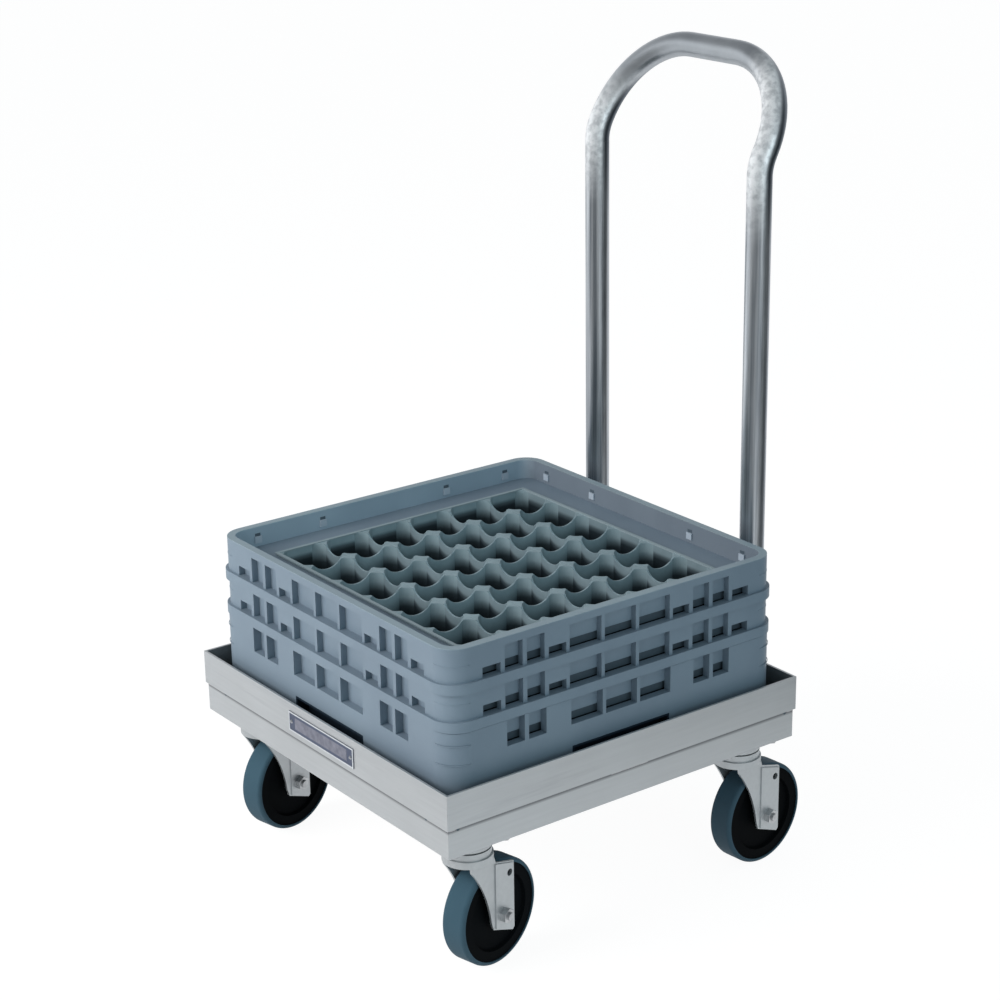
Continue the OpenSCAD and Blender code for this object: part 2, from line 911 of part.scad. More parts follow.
module base_rack() {
    color([0.42, 0.49, 0.55]) place()
        difference() {
            union() {
                layer_shell(base_top, base_h, false);
                difference() {
                    ring(rack_half - lap, rack_half + base_step, rack_z, base_top - skirt_foot - step_gap);
                    windows(base_top, false);
                }
            }
            grips(recess_t);
        }
}

// Pocket of each hand recess, set in the base rack's wall
module hand_recesses() {
    color([0.30, 0.36, 0.41]) place()
        difference() {
            intersection() {
                grips(recess_t - bond_gap);
                ring(rack_half / 2, rack_half + base_step, rack_z, base_top);
            }
            grips(0);
        }
}

// Open floor of crossing bars
module base_floor() {
    floor_half = rack_half - wall_t - bond_gap;
    hole = cell_pitch / 2 - floor_bar;
    count = 2 * cells;
    color([0.40, 0.47, 0.53]) place()
        difference() {
            translate([0, 0, rack_z])
                linear_extrude(floor_t)
                difference() {
                    round_square(2 * floor_half, rack_r - wall_t);
                    for (i = [0:count - 1])
                        for (j = [0:count - 1])
                            translate([
                                (i - (count - 1) / 2) * cell_pitch / 2,
                                (j - (count - 1) / 2) * cell_pitch / 2
                            ])
                            square(hole, center = true);
                }
            grips(recess_t + bond_gap);
        }
}

// Side view of a slat: dips between the crossings, half-height notches at them
module slat_outline(h, notch_up, dips) {
    length = 2 * field_half + slat_t;
    notch_w = slat_t + 2 * lap_gap;
    dip_r = (dip_w * dip_w / 4 + slat_dip * slat_dip) / (2 * slat_dip);
    difference() {
        translate([-length / 2, 0]) square([length, h]);
        for (i = [0:cells])
            translate([
                (i - cells / 2) * cell_pitch - notch_w / 2,
                notch_up ? h / 2 - lap_gap : -cut
            ])
            square([notch_w, h / 2 + lap_gap + cut]);
        if (dips)
            for (i = [0:cells - 1])
                translate([(i + 0.5 - cells / 2) * cell_pitch, h - slat_dip + dip_r])
                    circle(dip_r, $fn = 128);
    }
}

// The two crossing families of slats that make one layer's compartments. The
// outermost slats keep a straight top edge.
module dividers(z, h, top) {
    color([0.44, 0.51, 0.55]) place()
        for (i = [0:cells]) {
            offset_i = (i - cells / 2) * cell_pitch;
            dips = top && i > 0 && i < cells;
            translate([0, offset_i + slat_t / 2, z])
                rotate([90, 0, 0])
                linear_extrude(slat_t)
                slat_outline(h, false, dips);
            translate([offset_i - slat_t / 2, 0, z])
                rotate([90, 0, 90])
                linear_extrude(slat_t)
                slat_outline(h, true, dips);
        }
}

module upper_dividers() {
    dividers(rim_z - slat_drop - ext_h + seat, ext_h - seat, true);
}

module lower_dividers() {
    dividers(lower_top - slat_drop - ext_h + seat, ext_h - seat, false);
}

module base_dividers() {
    dividers(rack_z + floor_t + seat, base_slat_h, false);
}

for (s = SIDES) {
    angle_rail(s[1]);
    tube_rail(s[1]);
}
corner_gussets();
seam_welds();
nameplate();
nameplate_rivets();
push_handle();
handle_sockets();
handle_bolts();
handle_nuts();
plate_bolts();
plate_nuts();
swivel_balls();
base_rack();
hand_recesses();
base_floor();
base_dividers();
lower_extender();
lower_dividers();
upper_extender();
upper_dividers();
for (c = CORNERS) {
    at_caster(c, 0) caster_plate();
    at_caster(c, 0) kingpin();
    at_caster(c, c[3]) fork();
    at_caster(c, c[3]) axle_bolt();
    at_caster(c, c[3]) axle_nut();
    at_caster(c, c[3]) wheel_core();
    at_caster(c, c[3]) wheel_tread();
    at_caster(c, c[3]) hub_bush();
}
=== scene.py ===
"""Looks of the rack dolly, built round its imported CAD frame."""

import math

import bmesh
import bpy
from mathutils import Matrix, Vector


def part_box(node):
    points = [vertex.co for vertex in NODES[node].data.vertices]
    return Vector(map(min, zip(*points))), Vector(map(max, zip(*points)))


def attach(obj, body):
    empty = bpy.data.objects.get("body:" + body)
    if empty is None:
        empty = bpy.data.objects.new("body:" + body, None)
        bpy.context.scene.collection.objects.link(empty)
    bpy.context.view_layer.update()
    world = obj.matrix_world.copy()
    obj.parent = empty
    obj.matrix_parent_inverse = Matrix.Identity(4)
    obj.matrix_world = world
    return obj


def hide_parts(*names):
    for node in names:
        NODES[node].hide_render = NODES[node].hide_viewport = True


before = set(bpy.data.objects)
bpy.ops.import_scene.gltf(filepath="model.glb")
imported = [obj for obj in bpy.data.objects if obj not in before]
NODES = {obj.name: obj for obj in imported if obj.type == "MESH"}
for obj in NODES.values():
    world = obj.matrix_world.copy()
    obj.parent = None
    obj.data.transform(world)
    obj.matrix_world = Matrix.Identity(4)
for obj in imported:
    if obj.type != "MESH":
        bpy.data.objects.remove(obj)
scene = bpy.context.scene
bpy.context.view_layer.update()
CORNERS = ("fl", "fr", "bl", "br")
MM = 0.001

# Places, worked out from the frame
tube_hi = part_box("front_tube")[1]
shell_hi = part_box("upper_extender")[1]
base_lo, base_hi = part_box("base_rack")
slats_lo, slats_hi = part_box("upper_dividers")
plate_lo, plate_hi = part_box("nameplate")
handle_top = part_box("push_handle")[1].z
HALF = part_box("front_angle")[1].x
MID_Y = (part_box("front_angle")[0].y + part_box("back_angle")[1].y) / 2
TUBE_OUT = tube_hi.x
TUBE_TOP = tube_hi.z
RIM_Z = shell_hi.z

# Sizes that the boxes don't give: the angle's thickness, how far a skirt stands out, the double wall
# and a slat's thickness
ANGLE_T = 3 * MM
SKIRT = 4 * MM
WALLS = 10.5 * MM
SLAT = 2.4 * MM
CELLS = 6
RACK_HALF = shell_hi.x - SKIRT
INNER = RACK_HALF - WALLS
FIELD = slats_hi.x - SLAT / 2
PITCH = 2 * FIELD / CELLS

# Round dip in a slat's top edge between two crossings: its depth, width and radius
DIP = 10 * MM
DIP_W = 42 * MM
DIP_R = (DIP_W * DIP_W / 4 + DIP * DIP) / (2 * DIP)

# The handle's legs end and its bends start here
BEND_Z = handle_top - 160 * MM

# How deep the finest grain of a surface is
GRAIN = 0.2 * MM

# How far a thin piece is sunk into what carries it
SUNK = 0.2 * MM


def material(name, build):
    """A node material whose surface is what build makes in its tree"""
    mat = bpy.data.materials.new(name)
    mat.use_nodes = True
    tree = mat.node_tree
    tree.nodes.clear()
    out = tree.nodes.new("ShaderNodeOutputMaterial")
    tree.links.new(build(tree), out.inputs["Surface"])
    return mat


def node(tree, kind, **values):
    """A new node with some of its settings"""
    made = tree.nodes.new(kind)
    for key, value in values.items():
        setattr(made, key, value)
    return made


def feed(tree, socket, value):
    """Sets a socket to a number or a colour, or links it to another socket"""
    if isinstance(value, bpy.types.NodeSocket):
        tree.links.new(value, socket)
    elif isinstance(value, tuple) and len(value) == 3 and socket.type == "RGBA":
        socket.default_value = (*value, 1)
    else:
        socket.default_value = value


def calc(tree, operation, a, b=0.0):
    """One step of arithmetic on numbers or sockets"""
    made = node(tree, "ShaderNodeMath", operation=operation)
    feed(tree, made.inputs[0], a)
    feed(tree, made.inputs[1], b)
    return made.outputs[0]


def coords(tree, scale=(1, 1, 1), shift=(0, 0, 0)):
    """The point on the object at rest, in metres"""
    tex = node(tree, "ShaderNodeTexCoord")
    mapping = node(tree, "ShaderNodeMapping")
    mapping.inputs["Location"].default_value = shift
    mapping.inputs["Scale"].default_value = scale
    tree.links.new(tex.outputs["Object"], mapping.inputs["Vector"])
    return mapping.outputs["Vector"]


def split(tree, vector):
    """The three parts of a vector"""
    made = node(tree, "ShaderNodeSeparateXYZ")
    tree.links.new(vector, made.inputs[0])
    return made.outputs["X"], made.outputs["Y"], made.outputs["Z"]


def noise(tree, vector, scale, detail=3.0, roughness=0.55):
    made = node(tree, "ShaderNodeTexNoise")
    made.inputs["Scale"].default_value = scale
    made.inputs["Detail"].default_value = detail
    made.inputs["Roughness"].default_value = roughness
    tree.links.new(vector, made.inputs["Vector"])
    return made.outputs["Fac"]


def ramp(tree, fac, stops):
    """A colour for each value of fac, from stops of a value and a colour"""
    made = node(tree, "ShaderNodeValToRGB")
    items = made.color_ramp.elements
    while len(items) < len(stops):
        items.new(0.5)
    for item, (position, colour) in zip(items, stops):
        item.position = position
        item.color = (*colour, 1)
    tree.links.new(fac, made.inputs["Fac"])
    return made.outputs["Color"]


def remap(tree, value, start, end, low=0.0, high=1.0):
    """value going from start to end gives low to high, and stays there beyond them"""
    made = node(tree, "ShaderNodeMapRange")
    for name, number in (("From Min", start), ("From Max", end), ("To Min", low), ("To Max", high)):
        made.inputs[name].default_value = number
    tree.links.new(value, made.inputs["Value"])
    return made.outputs["Result"]


def bump(tree, height, strength, distance):
    made = node(tree, "ShaderNodeBump")
    feed(tree, made.inputs["Strength"], strength)
    made.inputs["Distance"].default_value = distance
    tree.links.new(height, made.inputs["Height"])
    return made.outputs["Normal"]


def mix(tree, fac, a, b, mode="MIX"):
    """Colour a where fac is 0, and b laid over it where fac is 1"""
    made = node(tree, "ShaderNodeMix", data_type="RGBA", blend_type=mode)
    feed(tree, made.inputs[0], fac)
    feed(tree, made.inputs[6], a)
    feed(tree, made.inputs[7], b)
    return made.outputs[2]


def principled(tree, colour, rough, metallic=0.0, normal=None, specular=0.5):
    made = node(tree, "ShaderNodeBsdfPrincipled")
    feed(tree, made.inputs["Base Color"], colour)
    feed(tree, made.inputs["Roughness"], rough)
    feed(tree, made.inputs["Metallic"], metallic)
    made.inputs["Specular IOR Level"].default_value = specular
    if normal is not None:
        tree.links.new(normal, made.inputs["Normal"])
    return made.outputs["BSDF"]


def linear(value):
    """One channel of a screen colour, 0 to 255, as linear light"""
    value /= 255
    return value / 12.92 if value <= 0.04045 else ((value + 0.055) / 1.055) ** 2.4


def rgb(red, green, blue):
    """A screen colour as linear light"""
    return linear(red), linear(green), linear(blue)


def shade(colour, factor):
    return tuple(channel * factor for channel in colour)


def facing(tree):
    """How far a face looks toward the front, -Y, and toward the right, +X"""
    x, y, _ = split(tree, node(tree, "ShaderNodeNewGeometry").outputs["Normal"])
    return remap(tree, y, -0.2, -0.8), remap(tree, x, 0.2, 0.8)


def tinted(tree, mask, tone, factors):
    """The tone, multiplied by factors where mask is 1"""
    return mix(tree, mask, tone, mix(tree, 1.0, tone, factors, "MULTIPLY"))


def metal(name, colour, rough=(0.3, 0.5), metallic=0.9, patch=9.0, grain=0.1, grain_scale=160.0,
          stretch=(1, 1, 1), contrast=0.12):
    """Bare metal: cloudy tone, fine grain along its length, and roughness that follows the clouds"""
    def build(tree):
        broad = noise(tree, coords(tree), patch, 4.0)
        fine = noise(tree, coords(tree, stretch), grain_scale, 2.0)
        cloudy = ramp(tree, broad, [(0.35, shade(colour, 1 - contrast)), (0.65, colour)])
        grained = ramp(tree, fine, [(0.35, (1 - contrast / 2,) * 3), (0.65, (1, 1, 1))])
        tone = mix(tree, 1.0, cloudy, grained, "MULTIPLY")
        gloss = remap(tree, broad, 0.3, 0.7, *rough)
        return principled(tree, tone, gloss, metallic, bump(tree, fine, grain, 0.3 * MM))

    return material(name, build)


def rail(name, stretch, seam=False):
    """Mill-finish aluminium of the frame, with painted shade inside the tray and in the crevice under the
    angle
    """
    pale = (0.64, 0.655, 0.665)

    def build(tree):
        where = coords(tree, (1, 1, 1), (0, -MID_Y, 0))
        x, y, z = split(tree, where)
        broad = noise(tree, where, 5.0, 3.0)
        fine = noise(tree, coords(tree, stretch), 240.0, 2.0)
        scuffs = noise(tree, coords(tree, stretch, (3.1, 1.7, 0.4)), 46.0, 5.0, 0.7)
        tone = ramp(tree, broad, [(0.3, shade(pale, 0.86)), (0.7, pale)])
        grained = ramp(tree, fine, [(0.3, (0.95,) * 3), (0.7, (1, 1, 1))])
        scuffed = ramp(tree, scuffs, [(0.30, (0.90, 0.90, 0.91)), (0.42, (1, 1, 1))])
        tone = mix(tree, 1.0, mix(tree, 1.0, tone, grained, "MULTIPLY"), scuffed, "MULTIPLY")
        if seam:
            # Painted shade: a dark band along the top of the tube, in the crevice under the angle's edge
            crevice = remap(tree, z, TUBE_TOP - 6.5 * MM, TUBE_TOP - 3.0 * MM)
            tone = tinted(tree, crevice, tone, (0.40, 0.40, 0.41))
        else:
            # Painted shade: the angle's inner faces, inside the tray, are made dark
            out = calc(tree, "MAXIMUM", calc(tree, "ABSOLUTE", x), calc(tree, "ABSOLUTE", y))
            tray = remap(tree, out, HALF - ANGLE_T - 0.4 * MM, HALF - ANGLE_T + 0.4 * MM, 1.0, 0.0)
            tone = tinted(tree, tray, tone, (0.16, 0.19, 0.20))
        gloss = remap(tree, broad, 0.3, 0.7, 0.40, 0.52)
        return principled(tree, tone, gloss, 0.72, bump(tree, fine, 0.08, GRAIN))

    return material(name, build)


def handle_shader(tree):
    """Drawn tube: long streaks on the legs, partly painted reflection, and frosted where it was bent, with
    a dark back that is painted reflection
    """
    where = coords(tree)
    x, _, z = split(tree, where)
    streaks = noise(tree, coords(tree, (1, 1, 0.015)), 190.0, 3.0, 0.6)
    clouds = noise(tree, where, 26.0, 4.0, 0.6)
    flecks = noise(tree, where, 120.0, 3.0, 0.5)
    legs = remap(tree, z, BEND_Z - 70 * MM, BEND_Z + 10 * MM, 1.0, 0.0)
    low_bend = remap(tree, z, BEND_Z + 60 * MM, BEND_Z + 110 * MM, 1.0, 0.0)
    right_bend = remap(tree, x, 80 * MM, 125 * MM)
    off_legs = calc(tree, "SUBTRACT", 1.0, legs)
    bent = calc(tree, "MULTIPLY", off_legs, calc(tree, "MAXIMUM", low_bend, right_bend))
    normal_x, normal_y, _ = split(tree, node(tree, "ShaderNodeNewGeometry").outputs["Normal"])
    backward = calc(tree, "ADD", normal_x, normal_y)
    # The frosting fades out on faces that look back, toward +X and +Y, which take the painted dark
    # reflection below
    bent = calc(tree, "MULTIPLY", bent, remap(tree, backward, 0.50, 1.05, 1.0, 0.0))
    plain = ramp(tree, clouds, [(0.35, (0.42, 0.445, 0.47)), (0.65, (0.50, 0.525, 0.55))])
    # Painted reflection, partly the drawn tube's own lines: long pale and dark streaks on the legs stand in
    # for what they reflect
    drawn = ramp(tree, streaks, [
        (0.34, (0.32, 0.35, 0.39)), (0.50, (0.56, 0.59, 0.62)), (0.64, (0.82, 0.85, 0.88))
    ])
    # Painted reflection: darker toward -X and paler toward +X, so the two legs reflect differently
    drawn = mix(tree, 1.0, drawn, remap(tree, x, -100 * MM, 100 * MM, 0.84, 0.92), "MULTIPLY")
    frosted = ramp(tree, flecks, [(0.35, (0.60, 0.615, 0.63)), (0.60, (0.94, 0.95, 0.96))])
    tone = mix(tree, legs, plain, drawn)
    tone = mix(tree, bent, tone, frosted)
    # Painted reflection: off the legs, faces that look back toward +X and +Y are made dark
    back = calc(tree, "MULTIPLY", off_legs, remap(tree, backward, 0.70, 1.05))
    tone = tinted(tree, back, tone, (0.30, 0.33, 0.37))
    gloss = calc(tree, "ADD", remap(tree, clouds, 0.3, 0.7, 0.28, 0.38), calc(tree, "MULTIPLY", bent, 0.10))
    metallic = calc(tree, "SUBTRACT", 0.92, calc(tree, "MULTIPLY", bent, 0.42))
    rough_height = calc(tree, "MULTIPLY", flecks, bent)
    return principled(tree, tone, gloss, metallic, bump(tree, rough_height, 0.5, 0.8 * MM))


def wall_shader(tree):
    """Moulded rack wall, with painted shade and light inside the rack, a painted highlight along the rim
    and painted shade at its foot in the frame
    """
    where = coords(tree, (1, 1, 1), (0, -MID_Y, 0))
    x, y, z = split(tree, where)
    out = calc(tree, "MAXIMUM", calc(tree, "ABSOLUTE", x), calc(tree, "ABSOLUTE", y))
    broad = noise(tree, where, 6.0, 4.0)
    fine = noise(tree, where, 900.0, 2.0)
    tone = ramp(tree, broad, [(0.35, (0.180, 0.232, 0.288)), (0.65, (0.212, 0.270, 0.328))])
    inside = remap(tree, out, INNER + 0.3 * MM, INNER + 0.8 * MM, 1.0, 0.0)
    to_front, to_right = facing(tree)
    # Painted shade and light on the inner faces: darker where they look toward -Y, much paler where they
    # look toward +X
    tone = tinted(tree, calc(tree, "MULTIPLY", inside, to_front), tone, (0.88, 0.82, 0.80))
    tone = tinted(tree, calc(tree, "MULTIPLY", inside, to_right), tone, (1.60, 1.60, 1.55))
    # Painted highlight: a pale line along the top of the rim
    tone = tinted(tree, remap(tree, z, RIM_Z - 0.9 * MM, RIM_Z - 0.5 * MM), tone, (1.35, 1.35, 1.25))
    # Painted shade: darker toward the foot of the base, in the frame
    tone = tinted(tree, remap(tree, z, base_lo.z, base_lo.z + 46 * MM, 1.0, 0.0), tone, (0.42, 0.46, 0.48))
    gloss = remap(tree, broad, 0.3, 0.7, 0.42, 0.58)
    return principled(tree, tone, gloss, 0.0, bump(tree, fine, 0.10, GRAIN), 0.4)


def dip_below(tree, along):
    """How deep the top edge of an inner slat is below its crossings, at a place along it"""
    turns = calc(tree, "FRACT", calc(tree, "DIVIDE", along, PITCH))
    off = calc(tree, "MULTIPLY", calc(tree, "SUBTRACT", turns, 0.5), PITCH)
    under = calc(tree, "SUBTRACT", DIP_R * DIP_R, calc(tree, "MULTIPLY", off, off))
    rise = calc(tree, "SQRT", calc(tree, "MAXIMUM", under, 0.0))
    return calc(tree, "MAXIMUM", calc(tree, "SUBTRACT", rise, DIP_R - DIP), 0.0)


def divider_tone(tree, where):
    """Cloudy grey-green that the slats and the compartments' corners share"""
    broad = noise(tree, where, 30.0, 4.0)
    return ramp(tree, broad, [(0.35, (0.240, 0.325, 0.360)), (0.65, (0.295, 0.390, 0.430))])


def corner_shader(tree):
    """Plastic of the compartments' rounded corners, with painted shade that darkens it lower down"""
    where = coords(tree, (1, 1, 1), (0, 0, -slats_hi.z))
    fine = noise(tree, where, 900.0, 2.0)
    # Painted shade: darker with depth below the slats' top
    depth = remap(tree, split(tree, where)[2], 0.0, -40 * MM)
    painted_depth_shade = ramp(tree, depth, [
        (0.0, (0.95, 0.95, 0.95)), (0.30, (0.80, 0.80, 0.80)), (0.45, (0.45, 0.46, 0.47)),
        (0.62, (0.12, 0.13, 0.14)), (1.0, (0.03, 0.035, 0.04)),
    ])
    tone = mix(tree, 1.0, divider_tone(tree, where), painted_depth_shade, "MULTIPLY")
    return principled(tree, tone, 0.55, 0.0, bump(tree, fine, 0.10, GRAIN), 0.3)


def divider_shader(tree):
    """Plastic of the slats, with painted shade and light: darker on faces toward -Y and paler toward +X,
    even and pale along the top edge, then dark lower down, soonest on faces toward -Y and on the outermost
    slats
    """
    where = coords(tree, (1, 1, 1), (0, -MID_Y, -slats_hi.z))
    x, y, z = split(tree, where)
    fine = noise(tree, where, 900.0, 2.0)
    tone = divider_tone(tree, where)
    to_front, to_right = facing(tree)
    # Painted shade and light: faces toward -Y made darker and faces toward +X paler, evening out the lamps
    tone = tinted(tree, to_front, tone, (0.74, 0.74, 0.75))
    tone = tinted(tree, to_right, tone, (1.12, 1.12, 1.12))
    # Painted shade: darker with depth below the top edge, which follows the dips on inner slats; soonest on
    # faces toward -Y and on the outermost slats
    out = calc(tree, "MAXIMUM", calc(tree, "ABSOLUTE", x), calc(tree, "ABSOLUTE", y))
    outer = remap(tree, out, FIELD - 2 * MM, FIELD - 1.5 * MM)
    inner = calc(tree, "SUBTRACT", 1.0, outer)
    along_x = calc(tree, "MULTIPLY", x, calc(tree, "SUBTRACT", 1.0, to_right))
    along = calc(tree, "ADD", along_x, calc(tree, "MULTIPLY", y, to_right))
    top = calc(tree, "MULTIPLY", dip_below(tree, along), inner)
    depth = remap(tree, calc(tree, "MULTIPLY", calc(tree, "ADD", z, top), -1.0), 0.0, 40 * MM)
    soon = ramp(tree, depth, [
        (0.0, (1, 1, 1)), (0.22, (0.9, 0.9, 0.9)), (0.33, (0.32, 0.33, 0.34)),
        (0.46, (0.08, 0.09, 0.10)), (1.0, (0.03, 0.035, 0.04)),
    ])
    late = ramp(tree, depth, [
        (0.0, (1, 1, 1)), (0.22, (0.85, 0.85, 0.85)), (0.45, (0.55, 0.56, 0.57)),
        (0.66, (0.20, 0.21, 0.22)), (1.0, (0.05, 0.055, 0.06)),
    ])
    painted_depth_shade = mix(tree, calc(tree, "MAXIMUM", to_front, outer), late, soon)
    tone = mix(tree, 1.0, tone, painted_depth_shade, "MULTIPLY")
    return principled(tree, tone, 0.55, 0.0, bump(tree, fine, 0.10, GRAIN), 0.3)


def plastic(name, dark, light, rough=(0.42, 0.58), grain=0.12, patch=6.0, specular=0.4):
    """Moulded plastic or rubber: clouds between two tones, a fine grain, and roughness that follows them"""
    def build(tree):
        broad = noise(tree, coords(tree), patch, 4.0)
        fine = noise(tree, coords(tree), 900.0, 2.0)
        tone = ramp(tree, broad, [(0.35, dark), (0.65, light)])
        gloss = remap(tree, broad, 0.3, 0.7, *rough)
        return principled(tree, tone, gloss, 0.0, bump(tree, fine, grain, GRAIN), specular)

    return material(name, build)


# Each rail's grain runs along its length
ALONG_X = (0.05, 1, 1)
ALONG_Y = (1, 0.05, 1)
angle_x = rail("angle_along_x", ALONG_X)
angle_y = rail("angle_along_y", ALONG_Y)
tube_x = rail("tube_along_x", ALONG_X, seam=True)
tube_y = rail("tube_along_y", ALONG_Y, seam=True)
gusset_metal = metal("gusset_aluminium", (0.68, 0.68, 0.69), (0.4, 0.6), contrast=0.2)
weld_metal = metal("weld_bead", (0.66, 0.66, 0.67), (0.3, 0.5), patch=60.0, grain=0.3, contrast=0.3)
handle_metal = material("handle_aluminium", handle_shader)
socket_metal = metal("socket_aluminium", (0.70, 0.70, 0.71), (0.35, 0.5), contrast=0.2)
steel = metal("fastener_steel", (0.60, 0.61, 0.62), (0.25, 0.4), patch=40.0, contrast=0.25)
zinc = metal("caster_zinc", (0.56, 0.58, 0.59), (0.34, 0.48), 0.72, patch=16.0, contrast=0.10)
ball_metal = metal("ball_steel", (0.72, 0.72, 0.73), (0.1, 0.15))
rivet_metal = metal("rivet_metal", (0.55, 0.56, 0.58), (0.35, 0.45))
bush_metal = metal("bush_metal", (0.52, 0.52, 0.53), (0.3, 0.4))
border_metal = metal("nameplate_border", (0.82, 0.84, 0.87), (0.4, 0.5), 0.6)
wall_plastic = material("rack_plastic", wall_shader)
divider_plastic = material("divider_plastic", divider_shader)
corner_plastic = material("corner_plastic", corner_shader)
bead_plastic = plastic("bead_plastic", (0.27, 0.34, 0.37), (0.31, 0.385, 0.415), (0.5, 0.6))
# The tabs' plastic is paler than the wall's: partly its own tone, partly painted light like the inner
# walls' faces toward +X
tab_tone_and_painted_light = plastic("tab_tone_and_painted_light", (0.38, 0.44, 0.51), (0.44, 0.50, 0.57))
# Painted shade: dark plastic for thin pieces that stand for shade, at the weld craters, above the wall tabs
# and behind the wall's slots
painted_shade_plastic = plastic("painted_shade_plastic", (0.07, 0.095, 0.12), (0.09, 0.12, 0.145))
# Painted shade: near-black plastic for the insides of the hand recesses
pocket_painted_shade = plastic("pocket_painted_shade", (0.013, 0.021, 0.033), (0.017, 0.027, 0.040), specular=0.1)
core_plastic = plastic(
    "core_black", (0.002, 0.0025, 0.003), (0.004, 0.005, 0.006), (0.6, 0.7), specular=0.03
)
tread_rubber = plastic("tread_rubber", rgb(54, 80, 94), rgb(63, 90, 104), (0.6, 0.75), specular=0.3)
plate_paint = plastic("nameplate_blue", rgb(58, 66, 88), rgb(70, 78, 100), (0.3, 0.4))
panel_paint = plastic("nameplate_panel", rgb(96, 98, 112), rgb(126, 126, 138), (0.35, 0.45), patch=90.0)

CAD_LOOKS = {
    "front_angle": angle_x, "back_angle": angle_x, "left_angle": angle_y, "right_angle": angle_y,
    "front_tube": tube_x, "back_tube": tube_x, "left_tube": tube_y, "right_tube": tube_y,
    "corner_gussets": gusset_metal, "seam_welds": weld_metal,
    "nameplate": plate_paint, "nameplate_rivets": rivet_metal,
    "push_handle": handle_metal, "handle_sockets": socket_metal,
    "handle_bolts": steel, "handle_nuts": steel, "plate_bolts": steel, "plate_nuts": steel,
    "swivel_balls": ball_metal,
    "base_rack": wall_plastic, "hand_recesses": pocket_painted_shade, "base_floor": wall_plastic,
    "lower_extender": wall_plastic, "upper_extender": wall_plastic,
    "base_dividers": divider_plastic, "lower_dividers": divider_plastic,
    "upper_dividers": divider_plastic,
}
for corner in CORNERS:
    CAD_LOOKS.update({
        "caster_plate_" + corner: zinc, "fork_" + corner: zinc, "kingpin_" + corner: steel,
        "axle_bolt_" + corner: steel, "axle_nut_" + corner: steel,
        "wheel_core_" + corner: core_plastic, "wheel_tread_" + corner: tread_rubber,
        "hub_bush_" + corner: bush_metal,
    })
for name, obj in NODES.items():
    obj.data.materials.clear()
    obj.data.materials.append(CAD_LOOKS[name])


def mesh_piece(name, verts, faces, mat, body, slot, smooth=False):
    """A new piece of the object, which rides on a body and takes the material mat. The slot is not used."""
    mesh = bpy.data.meshes.new(name)
    mesh.from_pydata(verts, [], faces)
    bm = bmesh.new()
    bm.from_mesh(mesh)
    bmesh.ops.recalc_face_normals(bm, faces=bm.faces)
    bm.to_mesh(mesh)
    bm.free()
    for face in mesh.polygons:
        face.use_smooth = smooth
    obj = bpy.data.objects.new(name, mesh)
    scene.collection.objects.link(obj)
    mesh.materials.append(mat)
    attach(obj, body)
    return obj


def box_mesh(lo, hi):
    """A block between two corners"""
    x0, y0, z0 = lo
    x1, y1, z1 = hi
    verts = [(x0, y0, z0), (x1, y0, z0), (x1, y1, z0), (x0, y1, z0),
             (x0, y0, z1), (x1, y0, z1), (x1, y1, z1), (x0, y1, z1)]
    faces = [(0, 3, 2, 1), (4, 5, 6, 7), (0, 1, 5, 4), (1, 2, 6, 5), (2, 3, 7, 6), (3, 0, 4, 7)]
    return verts, faces


def joined(parts):
    """Several parts as one list of points and one of faces"""
    verts, faces = [], []
    for part_verts, part_faces in parts:
        first = len(verts)
        verts += part_verts
        faces += [tuple(index + first for index in face) for face in part_faces]
    return verts, faces


def turned(part, quarter):
    """A part drawn on the -Y side, turned to another side of the frame"""
    cos, sin = ((1, 0), (0, 1), (-1, 0), (0, -1))[quarter]
    verts = [(cos * x - sin * (y - MID_Y), sin * x + cos * (y - MID_Y) + MID_Y, z) for x, y, z in part[0]]
    return verts, part[1]


# Weld beads in the step under the angle, which stand for the plain seam_welds. The long ones are at
# the ends of the front and back, the short ones at the ends of the sides, and one is mid-side.
BEAD_R = 2.1 * MM
BEAD_PITCH = 3.2 * MM
BEAD_SIDES = 6
BEAD_STEP = 0.8 * MM
BEAD_TAPER = 3.4 * MM
FRONT_BEAD = 42 * MM
SHORT_BEAD = 12 * MM
SIDE_BEAD = 60 * MM

# Dark stop at the inner end of a bead, a disc whose dark colour is painted shade for the crater's pit
CRATER_W = 2.2 * MM
CRATER_H = 1.7 * MM
CRATER_DROP = 2.6 * MM
CRATER_OFF = 2 * MM
CRATER_POINTS = 12


def bead(x0, x1):
    """Rippled fillet along the -Y rail from x0 to x1, thinner at both ends"""
    y, z = MID_Y - TUBE_OUT, TUBE_TOP - 0.05 * MM
    rings = int((x1 - x0) / BEAD_STEP)
    verts, faces = [], []
    for i in range(rings + 1):
        gone = (x1 - x0) * i / rings
        phase = 2 * (gone / BEAD_PITCH % 1) - 1
        from_end = min(gone, x1 - x0 - gone)
        radius = BEAD_R * (0.8 + 0.2 * math.sqrt(1 - phase * phase))
        radius *= min(1.0, 0.35 + from_end / BEAD_TAPER)
        verts.append((x0 + gone, y + SUNK, z))
        for k in range(BEAD_SIDES):
            angle = math.pi / 2 * k / (BEAD_SIDES - 1)
            verts.append((x0 + gone, y - radius * math.cos(angle), z - radius * math.sin(angle)))
    ring = BEAD_SIDES + 1
    for i in range(rings):
        for k in range(ring):
            a, b = i * ring + k, i * ring + (k + 1) % ring
            faces.append((a, b, b + ring, a + ring))
    faces.append(tuple(range(ring)))
    faces.append(tuple(rings * ring + k for k in range(ring)))
    return verts, faces


